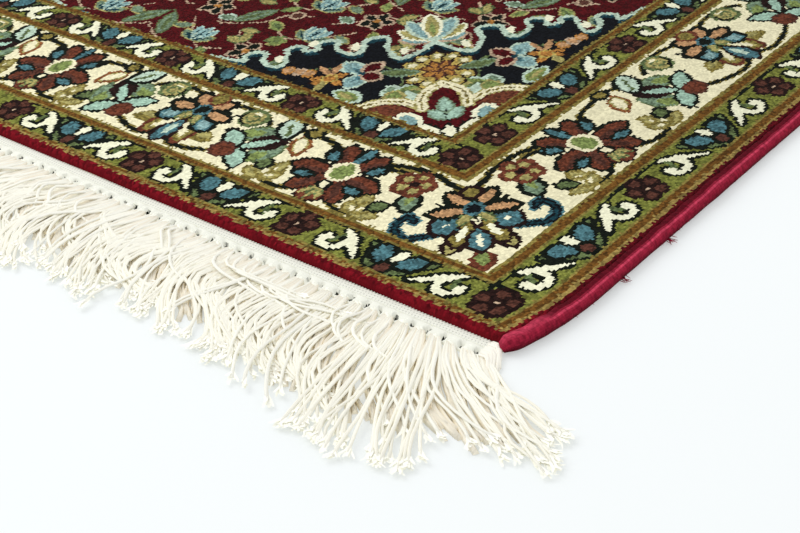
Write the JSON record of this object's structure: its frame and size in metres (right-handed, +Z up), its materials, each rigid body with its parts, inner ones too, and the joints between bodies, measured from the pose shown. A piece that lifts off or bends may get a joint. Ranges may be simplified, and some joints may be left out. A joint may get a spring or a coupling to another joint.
{
  "type": "kashmir silk rug",
  "caption": "Flat hand-knotted rug with a bordered floral pattern, overcast side cords and a fringed flat woven strip at each end.",
  "frame": {"origin": "on the floor, at the middle of the rug", "axes": "+Y along the rug's length, +X across its width, +Z up out of the pile"},
  "size_m": [0.819, 1.349, 0.0082],
  "materials": {
    "pile": "short cut silk pile with a soft sheen",
    "side_cord": "glossy overcast silk",
    "fringe": "matt plied cotton yarn"
  },
  "bodies": {
    "root": {"rug": "pile", "side_cord_right": "side_cord", "side_cord_left": "side_cord", "fringe_near": "fringe", "fringe_far": "fringe"}
  },
  "joints": []
}
